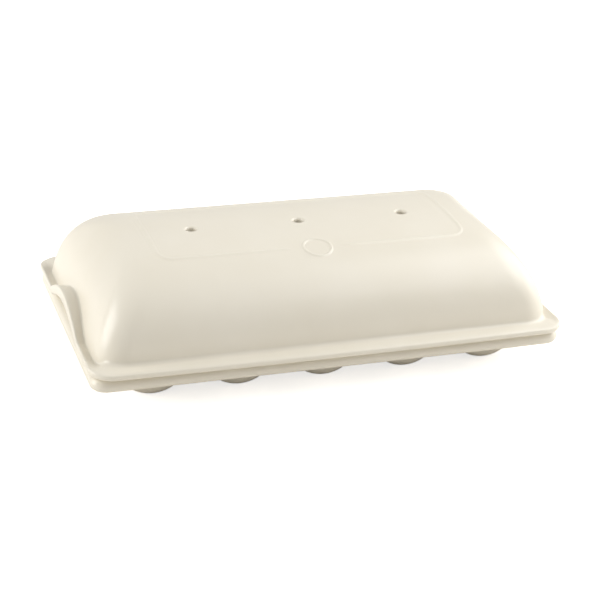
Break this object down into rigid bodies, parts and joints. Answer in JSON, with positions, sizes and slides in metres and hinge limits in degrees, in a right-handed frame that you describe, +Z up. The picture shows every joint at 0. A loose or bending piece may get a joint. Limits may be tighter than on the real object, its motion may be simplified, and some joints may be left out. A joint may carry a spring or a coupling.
{
  "type": "baguette baker",
  "caption": "Covered stoneware baker for short loaves: a domed lid with steam vents and finger arches over a tray of crosswise troughs.",
  "frame": {"origin": "centre of the object's footprint, on the plane that the tray's feet stand on", "axes": "+X along the baker's length, +Z up, -Y the front with the badge"},
  "size_m": [0.39, 0.2356, 0.1026],
  "materials": {
    "lid_glaze": "satin cream glaze",
    "base_glaze": "satin cream glaze"
  },
  "bodies": {
    "base": {"base": "base_glaze"},
    "lid": {"lid": "lid_glaze"}
  },
  "joints": [
    {"name": "lid_lift", "type": "slide", "parent": "base", "child": "lid", "axis": [0, 0, 1], "range_m": [0, 0.12]}
  ]
}
